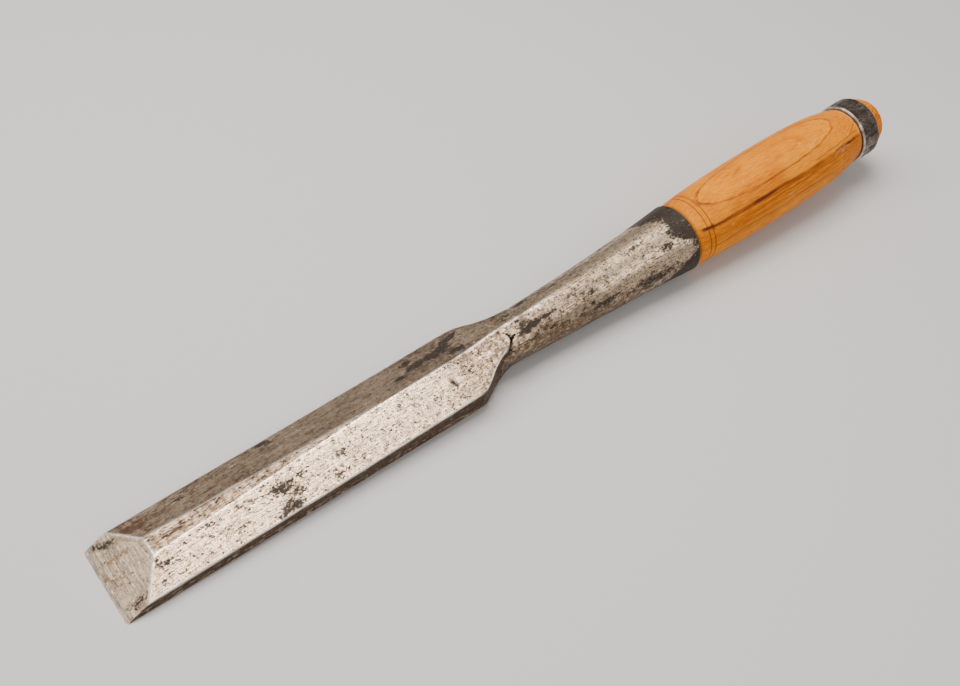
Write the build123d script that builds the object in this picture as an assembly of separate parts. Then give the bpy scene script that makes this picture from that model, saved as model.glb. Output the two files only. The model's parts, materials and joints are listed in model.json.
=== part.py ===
from build123d import *
import math
import os

# A bevel-edged socket chisel for timber framing, lying on its flat back, in millimetres.
# Everything is first drawn in the tool's own axes: X runs from the cutting edge towards the
# striking end, Y is across the blade, and Z is up from the blade's flat back. place() then
# leans the tool back on its cutting edge and socket mouth and centres it on the row's origin.

# ---------------------------------------------------------------- driving dimensions
BLADE_WIDTH = 38.1            # 1 1/2 inch
EDGE_THICKNESS = 0.12         # the ground edge is left a little blunt
BEVEL_ANGLE = 26.3            # main bevel, degrees
WALL_AT_TIP = 4.8             # height of the upright side walls, at the cutting edge
WALL_AT_SHOULDER = 9.8
CROWN_AT_TIP = 9.4            # blade thickness along its middle
CROWN_AT_SHOULDER = 16.2
CROWN_AT_NECK = 19.2
FLAT_HALF_AT_TIP = 5.3        # half width of the flat strip on top of the blade
FLAT_HALF_AT_RIDGE = 0.15     # past RIDGE_X the strip has narrowed to a worn ridge
RIDGE_X = 133.0
SHOULDER_X = 171.4
SHOULDER_CORNER_RADIUS = 5.0
NECK_X = 194.0                # here the shoulders have run into the neck
NECK_HALF_WIDTH = 8.2
ROOF_END_X = 206.0            # the roof-shaped top dies out on the neck

STEEL_THICKNESS = 2.4         # laid tool steel along the flat back
STEEL_END_X = 166.0
STEEL_SCARF = 12.0            # length over which the steel's inner end tapers out

WELD_X = 201.0                # scarf weld between the blade and the socket
WELD_HEIGHT = 8.0
WELD_LEAN = 28.0              # degrees from square to the blade

MOUTH_X = 302.8
MOUTH_HEIGHT = 9.98           # height of the handle's axis above the flat back, at the mouth
AXIS_RISE = 0.0405            # rise of that axis for each millimetre along the tool
MOUTH_RADIUS = 17.6
MOUTH_ROUND = 0.8
BORE_MOUTH_RADIUS = 15.0
BORE_DEPTH = 78.0
BORE_TAPER = 0.077            # loss of radius for each millimetre of depth
BORE_TIP_DEPTH = 4.0

HANDLE_GAP = 0.4              # between the socket's mouth and the handle's shoulder
TENON_LENGTH = 72.0
TENON_CLEARANCE = 0.04        # all round, between the tapered tenon and the socket
TENON_TIP_CHAMFER = 1.0
SHOULDER_RADIUS = 16.4        # handle radius beside the socket
BELLY_RADIUS = 19.42
GRIP_LENGTH = 121.6           # from the handle's shoulder to its hoop seat
SHOULDER_SLOPE = 0.11         # the grip widens this fast beside the socket
GROOVE_PLACES = (7.6, 10.4)   # scribed rings, measured from the socket's mouth
GROOVE_HALF_WIDTH = 0.35
GROOVE_DEPTH = 0.35

FAR_SHOULDER_STEP = 0.55      # from the far end of the grip down to the hoop seat
HOOP_GAP = 0.6                # between that step and the hoop
HOOP_LENGTH = 11.9
HOOP_RADIUS = 16.3
HOOP_WALL = 2.0
HOOP_CHAMFER = 0.5
HOOP_CLEARANCE = 0.05
END_STRAIGHT = 2.0            # straight wood past the hoop, before the dome
END_DOME = 11.1

# Round sections of the neck and socket: place along X, height of the centre, radius.
SOCKET_SECTIONS = (
    (180.0, 8.4, 7.6),
    (190.0, 7.9, 10.2),
    (200.0, 7.8, 11.5),
    (222.0, 8.0, 12.6),
    (250.0, 8.3, 13.9),
    (280.0, 9.15, 15.8),
)

# ---------------------------------------------------------------- derived values
HALF_WIDTH = BLADE_WIDTH / 2
AXIS_DIRECTION = Vector(1, 0, AXIS_RISE).normalized()
AXIS_ANGLE = math.degrees(math.atan(AXIS_RISE))
MOUTH_CENTRE = Vector(MOUTH_X, 0, MOUTH_HEIGHT)
HOOP_START = HANDLE_GAP + GRIP_LENGTH + HOOP_GAP
HOOP_BORE_RADIUS = HOOP_RADIUS - HOOP_WALL
SEAT_RADIUS = HOOP_BORE_RADIUS - HOOP_CLEARANCE


def along_axis(distance):
    """The plane square to the handle's axis, at a distance past the socket's mouth."""
    return Plane(origin=MOUTH_CENTRE + AXIS_DIRECTION * distance, z_dir=AXIS_DIRECTION)


def turned_on_axis(profile_lines):
    """Revolve a closed outline of (distance past the mouth, radius) about the handle's axis."""
    solid = revolve(make_face(profile_lines), axis=Axis.X, revolution_arc=360)
    return solid.rotate(Axis.Y, -AXIS_ANGLE).moved(Location(MOUTH_CENTRE))


# ---------------------------------------------------------------- blade
def blade_section(x, half_width, wall, flat_half, crown):
    """One cross-section of the blade: flat back, two walls, two side bevels and a top flat."""
    corners = [
        (x, -half_width, 0),
        (x, half_width, 0),
        (x, half_width, wall),
        (x, flat_half, crown),
        (x, -flat_half, crown),
        (x, -half_width, wall),
    ]
    return make_face(Polyline(*corners, close=True))


def at_ridge(tip_value, shoulder_value):
    return tip_value + (shoulder_value - tip_value) * RIDGE_X / SHOULDER_X


def blade_bar():
    """The blade as one long bar, before its bevel is ground and its shoulders are cut."""
    side_slope = (CROWN_AT_SHOULDER - WALL_AT_SHOULDER) / HALF_WIDTH
    wall_at_ridge = at_ridge(WALL_AT_TIP, WALL_AT_SHOULDER)
    crown_at_ridge = at_ridge(CROWN_AT_TIP, CROWN_AT_SHOULDER)
    wall_at_roof_end = CROWN_AT_NECK - side_slope * HALF_WIDTH
    sections = [
        blade_section(0, HALF_WIDTH, WALL_AT_TIP, FLAT_HALF_AT_TIP, CROWN_AT_TIP),
        blade_section(RIDGE_X, HALF_WIDTH, wall_at_ridge, FLAT_HALF_AT_RIDGE, crown_at_ridge),
        blade_section(SHOULDER_X, HALF_WIDTH, WALL_AT_SHOULDER, FLAT_HALF_AT_RIDGE, CROWN_AT_SHOULDER),
        blade_section(ROOF_END_X, HALF_WIDTH, wall_at_roof_end, FLAT_HALF_AT_RIDGE, CROWN_AT_NECK),
    ]
    return loft(sections, ruled=True)


def blade_plan():
    """The blade seen from above, as a prism: straight sides, rounded shoulders, then the neck."""
    points = [
        (0, -HALF_WIDTH),
        (SHOULDER_X, -HALF_WIDTH),
        (NECK_X, -NECK_HALF_WIDTH),
        (ROOF_END_X, -NECK_HALF_WIDTH),
    ]
    mirrored = [(x, -y) for x, y in reversed(points)]
    outline = make_face(Polyline(*points, *mirrored, close=True))
    corners = [v for v in outline.vertices() if 1 < v.X < ROOF_END_X - 1]
    outline = fillet(corners, SHOULDER_CORNER_RADIUS)
    return extrude(outline, CROWN_AT_NECK + 1)


def bevelled_blade():
    blade = blade_bar() & blade_plan()
    bevel = Plane(origin=(0, 0, EDGE_THICKNESS), x_dir=(0, 1, 0),
                  z_dir=Vector(0, 0, 1).rotate(Axis.Y, -BEVEL_ANGLE))
    return split(blade, bisect_by=bevel, keep=Keep.BOTTOM)


def steel_slab():
    """The room that the laid steel takes, with its inner end tapered out."""
    side = Polyline(
        (-1, -1),
        (STEEL_END_X, -1),
        (STEEL_END_X, 0),
        (STEEL_END_X - STEEL_SCARF, STEEL_THICKNESS),
        (-1, STEEL_THICKNESS),
        close=True,
    )
    return extrude(Plane.XZ * make_face(side), BLADE_WIDTH, both=True)


# ---------------------------------------------------------------- neck and socket
def socket_skin():
    """The outside of the neck and socket, as one solid."""
    sections = []
    for x, height, radius in SOCKET_SECTIONS:
        plane = Plane(origin=(x, 0, height), z_dir=AXIS_DIRECTION)
        sections.append(plane * Circle(radius))
    sections.append(along_axis(0) * Circle(MOUTH_RADIUS))
    skin = loft(sections)
    rim = skin.faces().sort_by(Axis.X)[-1].edges()
    return fillet(rim, MOUTH_ROUND)


def socket_bore():
    """The tapered hollow that takes the handle's tenon, with a forged conical end."""
    bore_end_radius = BORE_MOUTH_RADIUS - BORE_TAPER * BORE_DEPTH
    overrun = 2.0
    return turned_on_axis(Polyline(
        (overrun, 0),
        (overrun, BORE_MOUTH_RADIUS + BORE_TAPER * overrun),
        (-BORE_DEPTH, bore_end_radius),
        (-BORE_DEPTH - BORE_TIP_DEPTH, 0),
        close=True,
    ))


def forging_parts():
    """The blade, its laid steel and the socket, which meet face to face at their welds."""
    forging = bevelled_blade() + (socket_skin() - socket_bore())
    weld = Plane(origin=(WELD_X, 0, WELD_HEIGHT), x_dir=(0, 1, 0),
                 z_dir=Vector(1, 0, 0).rotate(Axis.Y, -WELD_LEAN))
    front = split(forging, bisect_by=weld, keep=Keep.BOTTOM)
    socket = split(forging, bisect_by=weld, keep=Keep.TOP)
    return front - steel_slab(), front & steel_slab(), socket


# ---------------------------------------------------------------- handle and hoop
def cone_radius(distance):
    """Radius of the straight-sided stretch of grip beside the socket."""
    return SHOULDER_RADIUS + SHOULDER_SLOPE * (distance - HANDLE_GAP)


def scribed_stretch():
    """Outline of the grip from its shoulder to just past the last scribed ring."""
    points = [(HANDLE_GAP, SHOULDER_RADIUS)]
    for place in GROOVE_PLACES:
        near = place - GROOVE_HALF_WIDTH
        far = place + GROOVE_HALF_WIDTH
        points.append((near, cone_radius(near)))
        points.append((place, cone_radius(place) - GROOVE_DEPTH))
        points.append((far, cone_radius(far)))
    return points


def handle_turning():
    """The wooden handle: tapered tenon, swelling grip, hoop seat and domed striking end."""
    root_radius = BORE_MOUTH_RADIUS - TENON_CLEARANCE
    tip_radius = root_radius - BORE_TAPER * TENON_LENGTH
    grip_end = HANDLE_GAP + GRIP_LENGTH
    dome_start = HOOP_START + HOOP_LENGTH + END_STRAIGHT
    tenon = [
        (-TENON_LENGTH, 0),
        (-TENON_LENGTH, tip_radius - TENON_TIP_CHAMFER),
        (-TENON_LENGTH + TENON_TIP_CHAMFER, tip_radius),
        (0, root_radius),
        (HANDLE_GAP, root_radius),
    ]
    scribed = scribed_stretch()
    swell = Spline(
        scribed[-1],
        (HANDLE_GAP + 0.22 * GRIP_LENGTH, 0.957 * BELLY_RADIUS),
        (HANDLE_GAP + 0.50 * GRIP_LENGTH, BELLY_RADIUS),
        (HANDLE_GAP + 0.72 * GRIP_LENGTH, 0.982 * BELLY_RADIUS),
        (HANDLE_GAP + 0.90 * GRIP_LENGTH, 0.895 * BELLY_RADIUS),
        (grip_end, SEAT_RADIUS + FAR_SHOULDER_STEP),
    )
    seat = [
        (grip_end, SEAT_RADIUS + FAR_SHOULDER_STEP),
        (grip_end, SEAT_RADIUS),
        (dome_start, SEAT_RADIUS),
    ]
    dome = Spline(
        seat[-1],
        (dome_start + 0.72 * END_DOME, 0.72 * SEAT_RADIUS),
        (dome_start + END_DOME, 0),
        tangents=((1, 0), (0, -1)),
    )
    centre_line = Line((dome_start + END_DOME, 0), (-TENON_LENGTH, 0))
    outline = [Polyline(*tenon, *scribed), swell, Polyline(*seat), dome, centre_line]
    return turned_on_axis(outline)


def strike_hoop():
    """The steel ring that keeps the striking end from splitting."""
    ring = Circle(HOOP_RADIUS) - Circle(HOOP_BORE_RADIUS)
    hoop = extrude(along_axis(HOOP_START) * ring, HOOP_LENGTH)
    outer_edges = [e for e in hoop.edges().filter_by(GeomType.CIRCLE) if e.radius > HOOP_RADIUS - 0.1]
    return chamfer(outer_edges, HOOP_CHAMFER)


# ---------------------------------------------------------------- placing and writing
def place(parts):
    """Lean the tool onto its cutting edge and mouth, and centre it above the row's origin."""
    mouth_low = MOUTH_CENTRE + Vector(AXIS_RISE, 0, -1).normalized() * MOUTH_RADIUS
    lean = math.degrees(math.atan2(-mouth_low.Z, mouth_low.X))
    leaned = {name: part.rotate(Axis.Y, -lean) for name, part in parts.items()}
    box = Compound(children=[Compound(part.wrapped) for part in leaned.values()]).bounding_box()
    shift = Location((-(box.min.X + box.max.X) / 2, -(box.min.Y + box.max.Y) / 2, -box.min.Z))
    print("lean", round(lean, 3), "shift", shift.position)
    return {name: part.moved(shift) for name, part in leaned.items()}


def main():
    blade, edge_steel, socket = forging_parts()
    parts = place({
        "blade": blade,
        "edge_steel": edge_steel,
        "socket": socket,
        "handle": handle_turning(),
        "strike_hoop": strike_hoop(),
    })
    os.makedirs("parts", exist_ok=True)
    for name, part in parts.items():
        export_step(part, f"parts/{name}.step")
        print(name, "volume", round(part.volume), "mm3")


main()
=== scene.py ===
"""The looks of a worn bevel-edged socket chisel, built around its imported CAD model.

Shapes are worked out in the tool's own axes, in millimetres: x runs from the cutting edge to
the striking end, y is across the blade with the camera on the -y side, and z is up from the
flat back. to_row() turns them into the row frame, in metres.
"""

import json
import math

import bmesh
import bpy
import numpy as np
from mathutils import Matrix, Vector


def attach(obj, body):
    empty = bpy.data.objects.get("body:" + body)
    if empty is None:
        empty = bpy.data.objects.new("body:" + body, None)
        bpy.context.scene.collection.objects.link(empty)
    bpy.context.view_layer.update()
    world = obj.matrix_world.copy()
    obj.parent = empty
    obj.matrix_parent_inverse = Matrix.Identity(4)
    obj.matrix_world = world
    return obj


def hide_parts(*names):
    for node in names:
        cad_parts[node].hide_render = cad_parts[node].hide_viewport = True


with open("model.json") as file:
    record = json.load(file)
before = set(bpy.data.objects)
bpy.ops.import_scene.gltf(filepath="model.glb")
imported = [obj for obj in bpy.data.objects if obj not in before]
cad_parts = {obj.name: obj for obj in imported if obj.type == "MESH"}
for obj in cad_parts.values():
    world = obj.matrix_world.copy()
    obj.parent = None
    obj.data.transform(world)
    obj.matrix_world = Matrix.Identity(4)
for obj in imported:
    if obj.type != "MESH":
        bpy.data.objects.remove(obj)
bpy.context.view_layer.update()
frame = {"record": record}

# ---------------- the tool's own axes
MM = 0.001
MOUNTS = {mount["name"]: mount for mount in frame["record"]["mounts"]}
FLAT_BACK_NORMAL = MOUNTS["flat_back"]["axis"]
LEAN = math.atan2(FLAT_BACK_NORMAL[0], -FLAT_BACK_NORMAL[2])
EDGE_MIDDLE = np.array(MOUNTS["cutting_edge"]["pos_m"])
TURN = np.array([
    [math.cos(LEAN), 0.0, -math.sin(LEAN)],
    [0.0, 1.0, 0.0],
    [math.sin(LEAN), 0.0, math.cos(LEAN)],
])


def to_row(points_mm):
    """Points in the tool's own axes, in mm, as points in the row frame, in metres."""
    return np.asarray(points_mm, float) * MM @ TURN.T + EDGE_MIDDLE


# ---------------- sizes, as in the CAD model
HALF_WIDTH = 19.05
EDGE_THICKNESS = 0.12
BEVEL_SLOPE = math.tan(math.radians(26.3))
WALL = ((0.0, 4.8), (171.4, 9.8), (182.0, 12.4), (206.0, 13.0))
CROWN = ((0.0, 9.4), (133.0, 14.66), (166.0, 15.9), (174.0, 16.5), (183.0, 17.7), (194.0, 18.9),
         (206.0, 19.3))
FLAT_HALF_AT_TIP = 5.3
RIDGE_HALF = 0.12
RIDGE_X = 133.0
BLADE_MIDDLE = 5.5
BLADE_END_X = 206.0
NEAR_PLAN = ((0.0, 19.05), (168.5, 19.05), (171.0, 18.6), (173.0, 17.6), (177.0, 15.4), (181.0, 13.1),
             (185.0, 11.2), (189.0, 9.6), (194.0, 8.2), (206.0, 7.6))
FAR_PLAN = ((0.0, 19.05), (169.0, 19.05), (174.0, 18.5), (178.0, 17.0), (183.0, 14.5), (188.0, 12.1),
            (193.0, 10.2), (199.0, 8.8), (206.0, 8.0))
STEEL_THICKNESS = 2.4
STEEL_END_X = 166.0
STEEL_SCARF = 12.0
WELD_X = 201.0
WELD_HEIGHT = 8.0
WELD_LEAN = math.tan(math.radians(28.0))
SCARF_ROWS_X = 183.0        # from here the rows of points lean over to meet the weld

MOUTH_X = 302.8
SQUARE_ROWS_X = 285.0       # from here the rows of points lean back to meet the mouth
MOUTH = np.array([MOUTH_X, 0.0, 9.98])
AXIS_RISE = 0.0405
AXIS = np.array([1.0, 0.0, AXIS_RISE]) / math.hypot(1.0, AXIS_RISE)
AXIS_UP = np.array([-AXIS[2], 0.0, AXIS[0]])
NECK_RADIUS = ((176.0, 6.4), (180.0, 7.6), (190.0, 10.2), (200.0, 11.5), (222.0, 12.6), (250.0, 13.85),
               (280.0, 15.75), (296.0, 17.0), (302.8, 17.6))
NECK_HEIGHT = ((176.0, 8.6), (190.0, 7.9), (200.0, 7.8), (222.0, 8.0), (250.0, 8.3), (280.0, 9.15),
               (302.8, 9.98))


# ---------------- curves and repeatable noise
def smooth_curve(points, x):
    """A smooth curve through a few (place, value) points, with no overshoot between them."""
    places, values = np.array(points, float).T
    gaps = np.diff(places)
    slopes = np.diff(values) / gaps
    tangents = np.zeros_like(values)
    same_way = slopes[:-1] * slopes[1:] > 0
    harmonic = 2 * slopes[:-1] * slopes[1:] / np.where(same_way, slopes[:-1] + slopes[1:], 1)
    tangents[1:-1] = np.where(same_way, harmonic, 0)
    tangents[0] = slopes[0]
    tangents[-1] = slopes[-1]
    x = np.clip(np.asarray(x, float), places[0], places[-1])
    i = np.clip(np.searchsorted(places, x, side="right") - 1, 0, len(gaps) - 1)
    gap = gaps[i]
    t = (x - places[i]) / gap
    t2 = t * t
    t3 = t2 * t
    return (values[i] * (2 * t3 - 3 * t2 + 1) + values[i + 1] * (3 * t2 - 2 * t3)
            + gap * tangents[i] * (t3 - 2 * t2 + t) + gap * tangents[i + 1] * (t3 - t2))


def scramble(x, y, z, seed):
    """A repeatable whole number below 2**21 for each whole-number point."""
    n = x * 374761393 + y * 668265263 + (z * 1274126177 + seed * 974711)
    n = (n ^ (n >> 13)) * 1103515245 & 0x7FFFFFFF
    n = (n ^ (n >> 16)) * 60493 & 0x7FFFFFFF
    return (n ^ (n >> 11)) & 0x1FFFFF


def noise(points, size, seed=0):
    """Smooth noise from -1 to 1, with lumps about size across. size may differ along each axis."""
    p = np.asarray(points, float) / np.asarray(size, float) + 1000.0
    low = np.floor(p)
    t = p - low
    t = t * t * t * (t * (t * 6 - 15) + 10)
    x, y, z = np.moveaxis(low.astype(np.int64), -1, 0)
    tx, ty, tz = np.moveaxis(t, -1, 0)
    planes = []
    for k in (0, 1):
        rows = []
        for j in (0, 1):
            left = scramble(x, y + j, z + k, seed)
            rows.append(left + (scramble(x + 1, y + j, z + k, seed) - left) * tx)
        planes.append(rows[0] + (rows[1] - rows[0]) * ty)
    return (planes[0] + (planes[1] - planes[0]) * tz) * (2 / 0x1FFFFF) - 1


def rough_noise(points, size, seed=0, octaves=4):
    """Noise with finer and finer lumps added, from about -1 to 1."""
    total = 0.0
    strength = 0.55
    size = np.asarray(size, float)
    for octave in range(octaves):
        total = total + strength * noise(points, size, seed + 17 * octave)
        size = size / 2.1
        strength *= 0.55
    return total


def pits(points, spacing, seed, share=0.6, widest=0.36):
    """Round hollows scattered one to a cell: 1 at a hollow's middle and 0 outside it."""
    p = np.asarray(points, float) / spacing + 500.0
    base = np.floor(p - 0.5)
    deepest = np.zeros(p.shape[:-1])
    for cell in range(8):
        here = base + (cell & 1, cell >> 1 & 1, cell >> 2)
        x, y, z = np.moveaxis(here.astype(np.int64), -1, 0)
        place = scramble(x, y, z, seed)
        kind = scramble(x, y, z, seed + 1)
        jitter = np.stack([place & 127, place >> 7 & 127, place >> 14], -1) / 127.0
        gap = np.linalg.norm(p - here - 0.15 - 0.7 * jitter, axis=-1)
        gap = gap / (widest * (0.35 + 0.65 * (kind & 1023) / 1023))
        kept = (kind >> 10) < share * 2047
        deepest = np.maximum(deepest, np.where(kept, np.clip(1 - gap * gap, 0, 1), 0))
    return deepest


def ramp(value, low, high):
    """0 below low, 1 above high, and smooth between them."""
    t = np.clip((value - low) / (high - low), 0, 1)
    return t * t * (3 - 2 * t)


def between(value, low, full_from, full_to, high):
    """1 from full_from to full_to, falling smoothly to 0 at low and at high."""
    return ramp(value, low, full_from) * (1 - ramp(value, full_to, high))


def hill(value, width):
    """A bell curve, 1 where value is 0."""
    return np.exp(-(value / width) ** 2)


# ---------------- the forging's shape
def bevel_height(x):
    return EDGE_THICKNESS + np.maximum(x, 0) * BEVEL_SLOPE


def flat_half(x):
    return np.maximum(FLAT_HALF_AT_TIP * (1 - x / RIDGE_X), RIDGE_HALF)


def roof_slope(x):
    """Fall of the side bevels for each millimetre sideways."""
    return (smooth_curve(CROWN, x) - smooth_curve(WALL, x)) / (HALF_WIDTH - flat_half(x))


def section_centre(x, floor=0.0):
    """Height of the point that each cross-section is measured round."""
    round_neck = smooth_curve(NECK_HEIGHT, x)
    blade_middle = BLADE_MIDDLE + (round_neck - BLADE_MIDDLE) * ramp(x, 165, 195)
    return np.minimum(blade_middle, 0.5 * (floor + bevel_height(x)))


def softest(values, softness):
    """The smallest of several distances, with the corners between them rounded."""
    values = np.stack(values)
    least = values.min(0)
    return least - softness * np.log(np.exp(-(values - least) / softness).sum(0))


def blade_reach(x, angle, floor=0.0):
    """How far the blade's faces are from the section's centre, at an angle from straight up."""
    softness = np.clip(0.06 * (bevel_height(x) - floor), 0.004, 0.09)
    slope = roof_slope(x)
    lean = 1 / np.sqrt(1 + slope * slope)
    crown = smooth_curve(CROWN, x)
    centre = section_centre(x, floor)
    eave = (crown + slope * flat_half(x) - centre) * lean
    one = np.ones_like(x)
    faces = [
        (0 * one, one, np.minimum(crown, bevel_height(x)) - centre),
        (0 * one, -one, centre - floor),
        (one, 0 * one, smooth_curve(FAR_PLAN, x)),
        (-one, 0 * one, smooth_curve(NEAR_PLAN, x)),
        (slope * lean, lean, eave),
        (-slope * lean, lean, eave),
    ]
    across = np.sin(angle)
    up = np.cos(angle)
    speeds = [a * across + b * up for a, b, _ in faces]
    reach = np.min([np.where(v > 1e-9, d / np.maximum(v, 1e-9), 1e9)
                    for v, (_, _, d) in zip(speeds, faces)], axis=0)
    for _ in range(6):
        gaps = [(v * reach - d) / softness for v, (_, _, d) in zip(speeds, faces)]
        most = np.max(gaps, axis=0)
        weights = [np.exp(g - most) for g in gaps]
        total = np.sum(weights, axis=0)
        value = softness * (most + np.log(total))
        slope_of_value = np.sum([w * v for w, v in zip(weights, speeds)], axis=0) / total
        reach = reach - value / np.maximum(slope_of_value, 1e-3)
    return reach


FORGED_FLAT_DEPTH = 0.75
FORGED_FLAT_TURN = math.radians(21)
KNUCKLE_HEIGHT = 2.6
KNUCKLE_TURN = math.radians(-60)
FILLET = 0.9


def neck_reach(x, angle):
    """The round neck and socket, with two forged flats that carry the blade's roof onto it."""
    radius = smooth_curve(NECK_RADIUS, x)
    depth = FORGED_FLAT_DEPTH * (1 - ramp(x, 196, 242))
    flats = []
    for side in (-1, 1):
        turn = np.cos(angle - side * FORGED_FLAT_TURN)
        flats.append(np.where(turn > 0.2, (radius - depth) / np.maximum(turn, 0.2), 1e3))
    ridge = between(x, 186, 200, 228, 250)
    flat = softest([radius + 0 * angle] + flats, 0.10)
    turn = (angle - KNUCKLE_TURN + np.pi) % (2 * np.pi) - np.pi
    knuckle = KNUCKLE_HEIGHT * hill(turn, 0.42) * between(x, 184.5, 189.5, 189.5, 212)
    return radius + (flat - radius) * ridge + knuckle


def forging_reach(x, angle, floor=0.0):
    """The blade and the neck run together, with a forged fillet between them."""
    x = x + 0 * angle
    blade = blade_reach(np.minimum(x, BLADE_END_X), angle, floor)
    neck = neck_reach(x, angle)
    joined = -softest([-blade, -neck], FILLET)
    reach = blade + (np.maximum(joined, blade) - blade) * ramp(x, 177, 186)
    return reach + (neck - reach) * ramp(x, WELD_X, BLADE_END_X)


def forging_point(x, angle, floor=0.0):
    reach = forging_reach(x, angle, floor)
    centre = section_centre(x, floor)
    return np.stack([x + 0 * angle, reach * np.sin(angle), centre + reach * np.cos(angle)], -1)


def spread(count):
    """Numbers from 0 to 1, closer together near both ends, where the edges are."""
    t = np.arange(count) / count
    return 0.45 * t + 0.55 * (0.5 - 0.5 * np.cos(np.pi * t))


def outline(corners, counts):
    """Points along the sides of a polygon, with as many on each side as counts says."""
    corners = np.array(corners, float)
    sides = zip(corners, np.roll(corners, -1, axis=0), counts)
    return np.concatenate([a + (b - a) * spread(count)[:, None] for a, b, count in sides])


FACE_COUNTS = (46, 16, 40, 48, 40, 16)     # flat back, far wall, far bevel, top, near bevel, near wall
LEAST_TOP_HALF = 1.8


def section_angles(x, floor=0.0):
    """Angles of the sample points round the blade at x, with the same number on each face."""
    crown, far, near = (float(smooth_curve(line, x)) for line in (CROWN, FAR_PLAN, NEAR_PLAN))
    top = min(crown, float(bevel_height(x)))
    slope = float(roof_slope(x))
    half = float(flat_half(x))
    top_half = max(half + max(crown - top, 0) / slope, LEAST_TOP_HALF)

    def eave(width):
        return min(crown - slope * (width - half), top)

    top_far = min(top_half, far)
    top_near = min(top_half, near)
    corners = [(-near, floor), (far, floor), (far, eave(far)), (top_far, eave(top_far)),
               (-top_near, eave(top_near)), (-near, eave(near))]
    centre = float(section_centre(x, floor))
    return np.unwrap([math.atan2(y, z - centre) for y, z in outline(corners, FACE_COUNTS)])


# ---------------- mesh helpers
SHARP_ANGLE = math.radians(48)


def add_object(name, data):
    obj = bpy.data.objects.new(name, data)
    bpy.context.scene.collection.objects.link(obj)
    return obj


def ring_faces(rows, columns):
    """Quads between neighbouring rings of points stored one after another."""
    faces = []
    for a in range(0, (rows - 1) * columns, columns):
        b = a + columns
        for j in range(columns):
            k = (j + 1) % columns
            faces.append((a + j, b + j, b + k, a + k))
    return faces


def fan(ring, middle, flip=False):
    """Triangles from a ring of points to one middle point."""
    pairs = zip(ring, ring[1:] + ring[:1])
    return [(b, a, middle) if flip else (a, b, middle) for a, b in pairs]


def mesh_object(name, points_mm, faces):
    """A closed, smooth-shaded object from points in the tool's axes."""
    mesh = bpy.data.meshes.new(name)
    mesh.from_pydata([tuple(p) for p in to_row(points_mm)], [], faces)
    work = bmesh.new()
    work.from_mesh(mesh)
    bmesh.ops.remove_doubles(work, verts=work.verts, dist=2e-6)
    bmesh.ops.recalc_face_normals(work, faces=work.faces)
    work.to_mesh(mesh)
    work.free()
    mesh.shade_smooth()
    mesh.set_sharp_from_angle(angle=SHARP_ANGLE)
    return add_object(name, mesh)


def capped_rings(name, rings, past_end=0.0):
    """An object from rings of points, closed by a fan at each end."""
    columns = len(rings[0])
    front = len(rings) * columns
    middles = np.stack([rings[0].mean(0), rings[-1].mean(0) + past_end * AXIS])
    faces = ring_faces(len(rings), columns)
    faces += fan(list(range(columns)), front, flip=True)
    faces += fan(list(range(front - columns, front)), front + 1)
    return mesh_object(name, np.concatenate(rings + [middles]), faces)


def tool_points(obj):
    """The object's points in the tool's own axes, in mm, and its outward directions there."""
    count = len(obj.data.vertices)
    flat = np.empty(count * 3)
    obj.data.vertices.foreach_get("co", flat)
    points = (flat.reshape(-1, 3) - EDGE_MIDDLE) @ TURN / MM
    normals = np.empty(count * 3)
    obj.data.vertex_normals.foreach_get("vector", normals)
    return points, normals.reshape(-1, 3) @ TURN


def add_values(obj, name, values):
    """Leave a number or a place at each point, for the material to read."""
    kind, field = ("FLOAT_VECTOR", "vector") if values.ndim == 2 else ("FLOAT", "value")
    layer = obj.data.attributes.new(name, kind, "POINT")
    layer.data.foreach_set(field, values.ravel().astype(np.float32))


def set_age(obj, masks, places, moved, hidden=False, hidden_value=0.0):
    """Leave the masks, and the places for the material's grain, and move the points."""
    for name, values in masks.items():
        add_values(obj, name, np.clip(np.where(hidden, hidden_value, values), 0, 1))
    add_values(obj, "tool", places)
    obj.data.vertices.foreach_set("co", to_row(moved).ravel())
    obj.data.update()


# ---------------- the three forged pieces
def weld_place(points):
    """x of the scarf weld at each point's height."""
    return WELD_X - WELD_LEAN * (points[..., 2] - WELD_HEIGHT)


def steel_top(x):
    """Top of the laid steel: level, then tapered out at its inner end."""
    start = STEEL_END_X - STEEL_SCARF
    scarf = np.maximum(STEEL_THICKNESS * (STEEL_END_X - x) / STEEL_SCARF, 0)
    return np.where(x < start, STEEL_THICKNESS, scarf)


def build_blade():
    """The iron above the laid steel, from the main bevel to the weld in the neck."""
    # rows of points: close at the cutting edge and the neck, wider between them
    places = np.concatenate([np.arange(0.0, 22.0, 0.4), np.linspace(22.0, STEEL_END_X, 250),
                             np.linspace(STEEL_END_X + 0.5, WELD_X, 110)])
    first = (STEEL_THICKNESS - EDGE_THICKNESS) / BEVEL_SLOPE
    places = np.concatenate([[first + 0.02], places[places > first + 0.3]])
    rows = []
    for x in places:
        floor = float(steel_top(x))
        angles = section_angles(x, floor)
        shift = max(0.0, (x - SCARF_ROWS_X) / (WELD_X - SCARF_ROWS_X))
        points = forging_point(np.full(len(angles), float(x)), angles, floor)
        for _ in range(4 if shift else 0):
            points = forging_point(x + shift * (weld_place(points) - WELD_X), angles, floor)
        rows.append(points)
    return capped_rings("blade_iron", rows)


STEEL_COUNTS = (60, 8, 60, 8)     # under, far side, top, near side


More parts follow.
